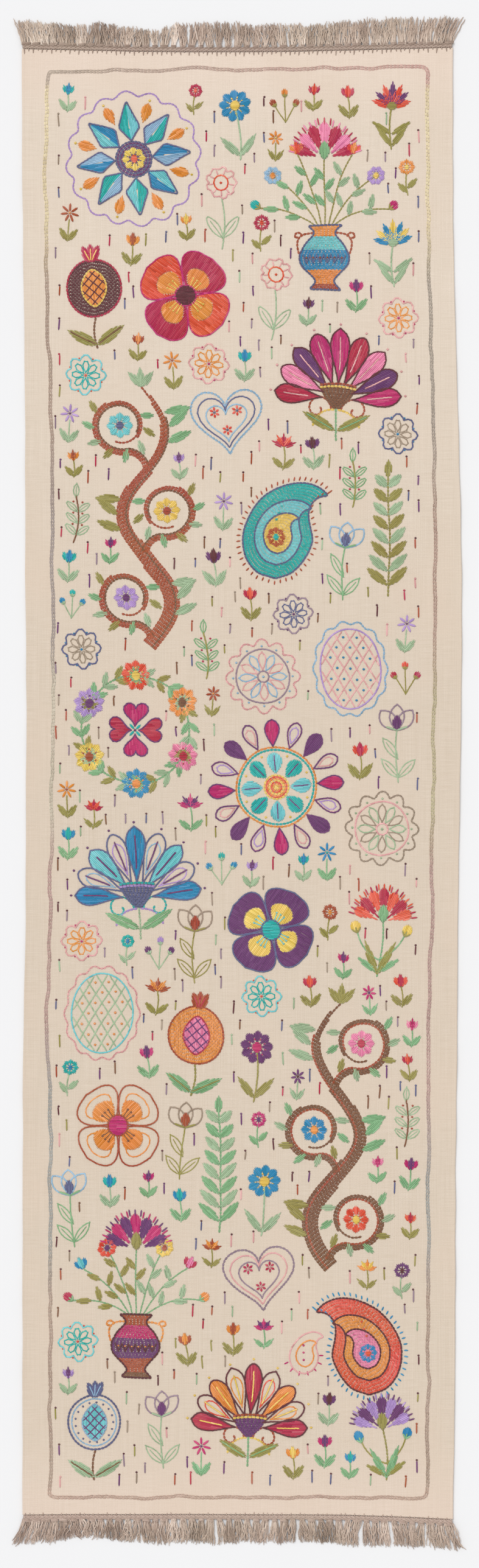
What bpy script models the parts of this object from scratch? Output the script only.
"""An embroidered flat-woven wool runner, laid flat on the floor.

The runner is three pieces, as its maker made it: the woven cloth, and at each end a
twined heading that the warp ends are knotted into, with the warp hanging on as a fringe.
X runs across the runner, +Y runs along it towards its head, and +Z is up. The origin is
the middle of the whole runner, on the floor.
"""

import bmesh
import bpy
import numpy as np

MM = 0.001  # everything below is in millimetres until a mesh is written

# The woven cloth
CLOTH_WIDTH = 740.0
CLOTH_LENGTH = 2500.0
CLOTH_THICKNESS = 3.0
SELVEDGE_ROUND = 0.8  # how far the top edge is bevelled off
UPRIGHT = 0.5  # a face whose normal has less z than this is one of the cloth's sides
CLOTH_ROWS = 42  # steps along the cloth
RIPPLE = 0.5  # small waves of the selvedges
LEFT_RIPPLE_PITCH = 173.0
RIGHT_RIPPLE_PITCH = 133.0

# The headings and their fringes
PIECE_GAP = 0.3  # between the cloth's end and a heading
HEADING_WIDTH = 8.5
HEADING_LOW = 2.4  # the heading's height between two knots
KNOT_RISE = 2.0  # how much higher it is on a knot
KNOTS = 47
STRANDS_PER_KNOT = 3
STRAND_SHARE = 0.82  # a strand's root takes this share of its place on the heading
STRAND_STEPS = 3
TIP_WIDTH = 0.64  # a strand's width at its tip, as a share of its width at the root
TIP_HEIGHT = 0.50  # the same for its height
LENGTH_JITTER = 2.4
SWEEP_POWER = 1.5  # a strand leaves the heading straight and bends further out

# The sides aren't straight. Each row is a place along the cloth, and how far each
# selvedge stands out there from the straight line at half the cloth's width.
SIDES = (
    # from_foot, left_out, right_out
    (0.0, 1.6, -6.8),
    (200.0, 1.6, -3.6),
    (400.0, 1.6, -2.6),
    (600.0, 1.1, -2.1),
    (800.0, 0.5, 0.5),
    (1000.0, -3.6, 1.6),
    (1200.0, -4.1, 4.7),
    (1400.0, -5.2, 7.8),
    (1600.0, -3.1, 8.3),
    (1800.0, -3.1, 4.2),
    (2000.0, -1.6, -1.6),
    (2200.0, 1.1, -6.2),
    (2400.0, 2.6, -6.8),
    (2500.0, 2.6, -6.8),
)

# The ends aren't square. Each row is a place across the cloth, as a share of its width
# from the left, and how far each end stands out there past half the cloth's length.
ENDS = (
    # across, head_out, foot_out
    (0.000, 3.1, -0.6),
    (0.125, 1.0, -1.2),
    (0.250, -1.2, -1.0),
    (0.375, -2.1, -1.4),
    (0.500, -2.2, -1.0),
    (0.625, -1.6, -0.8),
    (0.750, 0.6, -0.2),
    (0.875, 3.0, 2.8),
    (1.000, 5.2, 7.3),
)

# How long the fringe is at each end, across the runner from the left.
FRINGE_LENGTHS = (
    # across, head_length, foot_length
    (0.00, 40.0, 41.0),
    (0.06, 36.0, 37.0),
    (0.12, 33.0, 30.0),
    (0.18, 38.0, 31.0),
    (0.24, 32.0, 38.0),
    (0.30, 25.0, 42.0),
    (0.36, 38.0, 38.0),
    (0.44, 41.0, 41.0),
    (0.52, 38.0, 36.0),
    (0.60, 37.0, 39.0),
    (0.68, 36.0, 35.0),
    (0.76, 39.0, 42.0),
    (0.84, 42.0, 43.0),
    (0.92, 43.0, 40.0),
    (1.00, 41.0, 42.0),
)

# How far the outermost strands of each end splay past the corner, and over what width
# the splay dies out.
CORNER_SPLAY = {"head": (-14.0, 21.0), "foot": (-13.0, 14.0)}  # left, right
SPLAY_REACH = 42.0

# The strands lean together in waves: how far the tips move, and each wave's length.
LEAN_WAVES = (
    # tip_shift, wave_length, head_phase, foot_phase
    (2.4, 131.0, 0.4, 2.1),
    (1.3, 61.0, 1.9, 4.4),
    (0.35, CLOTH_WIDTH / KNOTS, 0.0, 0.0),
)

WOOL_CREAM = (0.74, 0.63, 0.51, 1.0)
WOOL_TAUPE = (0.43, 0.34, 0.275, 1.0)


def clear_scene():
    for item in list(bpy.data.objects):
        bpy.data.objects.remove(item, do_unlink=True)


def column(table, number):
    """One column of a table, as an array."""
    return np.array([row[number] for row in table])


def smooth_curve(places, values, at):
    """The cubic Hermite curve through the values, with slopes taken from the neighbours."""
    slopes = np.gradient(values, places)
    span = np.clip(np.searchsorted(places, at, side="right") - 1, 0, len(places) - 2)
    step = places[span + 1] - places[span]
    t = (at - places[span]) / step
    return (
        (2 * t**3 - 3 * t**2 + 1) * values[span]
        + (t**3 - 2 * t**2 + t) * step * slopes[span]
        + (3 * t**2 - 2 * t**3) * values[span + 1]
        + (t**3 - t**2) * step * slopes[span + 1]
    )


def side_edges(from_foot):
    """The left and right selvedge's x at places along the cloth."""
    places = column(SIDES, 0)
    left_wave = np.sin(2 * np.pi * from_foot / LEFT_RIPPLE_PITCH)
    right_wave = np.cos(2 * np.pi * from_foot / RIGHT_RIPPLE_PITCH)
    left = smooth_curve(places, column(SIDES, 1), from_foot) + RIPPLE * left_wave
    right = smooth_curve(places, column(SIDES, 2), from_foot) + RIPPLE * right_wave
    return -CLOTH_WIDTH / 2 - left, CLOTH_WIDTH / 2 + right


def outwards(end):
    return 1.0 if end == "head" else -1.0


def across_end(table, end, across):
    """What a table gives for one end, at shares of the width from the left."""
    return np.interp(across, column(table, 0), column(table, 1 if end == "head" else 2))


def end_edge(end, across):
    """The y of one end of the cloth, at shares of its width from the left."""
    return outwards(end) * (CLOTH_LENGTH / 2 + across_end(ENDS, end, across))


def wool(name, colour, roughness):
    """A plain wool material."""
    material = bpy.data.materials.new(name)
    material.use_nodes = True
    shader = material.node_tree.nodes["Principled BSDF"]
    shader.inputs["Base Color"].default_value = colour
    shader.inputs["Roughness"].default_value = roughness
    shader.inputs["Metallic"].default_value = 0.0
    material.diffuse_color = colour
    return material


def new_piece(name, mesh_tool, material):
    """An object from a bmesh in millimetres, written in metres."""
    for vert in mesh_tool.verts:
        vert.co *= MM
    bmesh.ops.recalc_face_normals(mesh_tool, faces=mesh_tool.faces)
    mesh = bpy.data.meshes.new(name)
    mesh_tool.to_mesh(mesh)
    mesh_tool.free()
    mesh.materials.append(material)
    piece = bpy.data.objects.new(name, mesh)
    bpy.context.collection.objects.link(piece)
    return piece


def make_ground(material):
    """The woven cloth: a flat slab with the runner's uneven outline and a softened top edge."""
    mesh_tool = bmesh.new()
    across = column(ENDS, 0)
    along = np.linspace(0.0, 1.0, CLOTH_ROWS + 1)
    left, right = side_edges(along * CLOTH_LENGTH)
    foot, head = end_edge("foot", across), end_edge("head", across)
    grid = [
        [
            mesh_tool.verts.new(
                (left[row] + (right[row] - left[row]) * share, foot[i] + (head[i] - foot[i]) * t, 0.0)
            )
            for i, share in enumerate(across)
        ]
        for row, t in enumerate(along)
    ]
    for lower, upper in zip(grid, grid[1:]):
        for i in range(len(across) - 1):
            mesh_tool.faces.new((lower[i], lower[i + 1], upper[i + 1], upper[i]))
    underside = list(mesh_tool.faces)
    raised = bmesh.ops.extrude_face_region(mesh_tool, geom=underside, use_keep_orig=True)
    top = [item for item in raised["geom"] if isinstance(item, bmesh.types.BMVert)]
    bmesh.ops.translate(mesh_tool, verts=top, vec=(0.0, 0.0, CLOTH_THICKNESS))
    bmesh.ops.recalc_face_normals(mesh_tool, faces=mesh_tool.faces)
    rim = [
        edge
        for edge in mesh_tool.edges
        if all(vert.co.z > 0 for vert in edge.verts)
        and any(abs(face.normal.z) < UPRIGHT for face in edge.link_faces)
    ]
    bmesh.ops.bevel(mesh_tool, geom=rim, offset=SELVEDGE_ROUND, segments=1, affect="EDGES")
    return new_piece("kilim_ground", mesh_tool, material)


def heading_height(across):
    """The heading's height: low between two knots and round over each."""
    through_knot = (across * KNOTS) % 1.0
    return HEADING_LOW + KNOT_RISE * np.sin(np.pi * through_knot) ** 2


def make_heading(mesh_tool, end, strands):
    """The twined heading, and its outer faces that the strands grow from, left to right.

    Its corner lines run across the runner, with a pair of corners at each strand's root.
    """
    place = 1.0 / strands
    roots = (np.arange(strands) + 0.5) * place
    half = 0.5 * STRAND_SHARE * place
    across = np.sort(np.concatenate(([0.0, 1.0], roots - half, roots + half)))
    corner = 0.0 if end == "foot" else CLOTH_LENGTH
    left, right = (edge[0] for edge in side_edges(np.array([corner])))
    x = left + (right - left) * across
    inner = end_edge(end, across) + outwards(end) * PIECE_GAP
    outer = inner + outwards(end) * HEADING_WIDTH
    height = heading_height(across)
    lines = [
        [mesh_tool.verts.new(point) for point in zip(x, y, z)]
        for y, z in ((inner, 0 * x), (outer, 0 * x), (outer, height), (inner, height))
    ]
    root_faces = []
    for i in range(len(across) - 1):
        for number in range(4):
            one, other = lines[number], lines[(number + 1) % 4]
            face = mesh_tool.faces.new((one[i], one[i + 1], other[i + 1], other[i]))
            if number == 1 and i % 2 == 1:
                root_faces.append(face)
    for i in (0, -1):
        mesh_tool.faces.new([line[i] for line in lines])
    return root_faces, x[0], x[-1]


def tip_shift(end, x, left, right):
    """How far a strand's tip lies to the side of its root: corner splay and shared lean."""
    splay_left, splay_right = CORNER_SPLAY[end]
    shift = splay_left * np.exp(-(x - left) / SPLAY_REACH)
    shift += splay_right * np.exp(-(right - x) / SPLAY_REACH)
    for size, wave_length, head_phase, foot_phase in LEAN_WAVES:
        phase = head_phase if end == "head" else foot_phase
        shift -= size * np.sin(2 * np.pi * (x - left) / wave_length + phase)
    return shift


def grow_strand(mesh_tool, root, end, length, shift):
    """Extrudes one strand from its root face, tapering to its tip, level on the floor."""
    face = root
    start = root.calc_center_median()
    width = height = 1.0
    middle = start.x
    reached = 0.0
    for step in range(1, STRAND_STEPS + 1):
        t = step / STRAND_STEPS
        face = bmesh.ops.extrude_discrete_faces(mesh_tool, faces=[face])["faces"][0]
        new_width = 1 + (TIP_WIDTH - 1) * t
        new_height = 1 + (TIP_HEIGHT - 1) * t
        new_middle = start.x + shift * t**SWEEP_POWER
        for vert in face.verts:
            vert.co.x = new_middle + (vert.co.x - middle) * new_width / width
            vert.co.y += outwards(end) * (t - reached) * length
            vert.co.z *= new_height / height
        width, height, middle, reached = new_width, new_height, new_middle, t


def make_fringe(end, material, random):
    """One end's heading with its strands, as one closed piece."""
    mesh_tool = bmesh.new()
    strands = KNOTS * STRANDS_PER_KNOT
    roots, left, right = make_heading(mesh_tool, end, strands)
    across = (np.arange(strands) + 0.5) / strands
    lengths = across_end(FRINGE_LENGTHS, end, across)
    lengths += random.uniform(-LENGTH_JITTER, LENGTH_JITTER, strands)
    shifts = tip_shift(end, left + (right - left) * across, left, right)
    for root, length, shift in zip(roots, lengths, shifts):
        grow_strand(mesh_tool, root, end, length, shift)
    return new_piece(f"fringe_{end}", mesh_tool, material)


def centre_on_floor(pieces):
    """Moves every mesh so that the runner's middle, at the floor, is the origin."""
    points = np.array([tuple(vert.co) for piece in pieces for vert in piece.data.vertices])
    low, high = points.min(axis=0), points.max(axis=0)
    for piece in pieces:
        for vert in piece.data.vertices:
            vert.co.x -= (low[0] + high[0]) / 2
            vert.co.y -= (low[1] + high[1]) / 2
            vert.co.z -= low[2]
    size = (high - low) / MM
    print(f"runner {size[0]:.1f} x {size[1]:.1f} x {size[2]:.1f} mm")


def main():
    clear_scene()
    random = np.random.default_rng(47)
    cream = wool("wool_ground", WOOL_CREAM, 0.92)
    taupe = wool("wool_fringe", WOOL_TAUPE, 0.94)
    pieces = [make_ground(cream)]
    pieces += [make_fringe(end, taupe, random) for end in ("head", "foot")]
    centre_on_floor(pieces)


main()
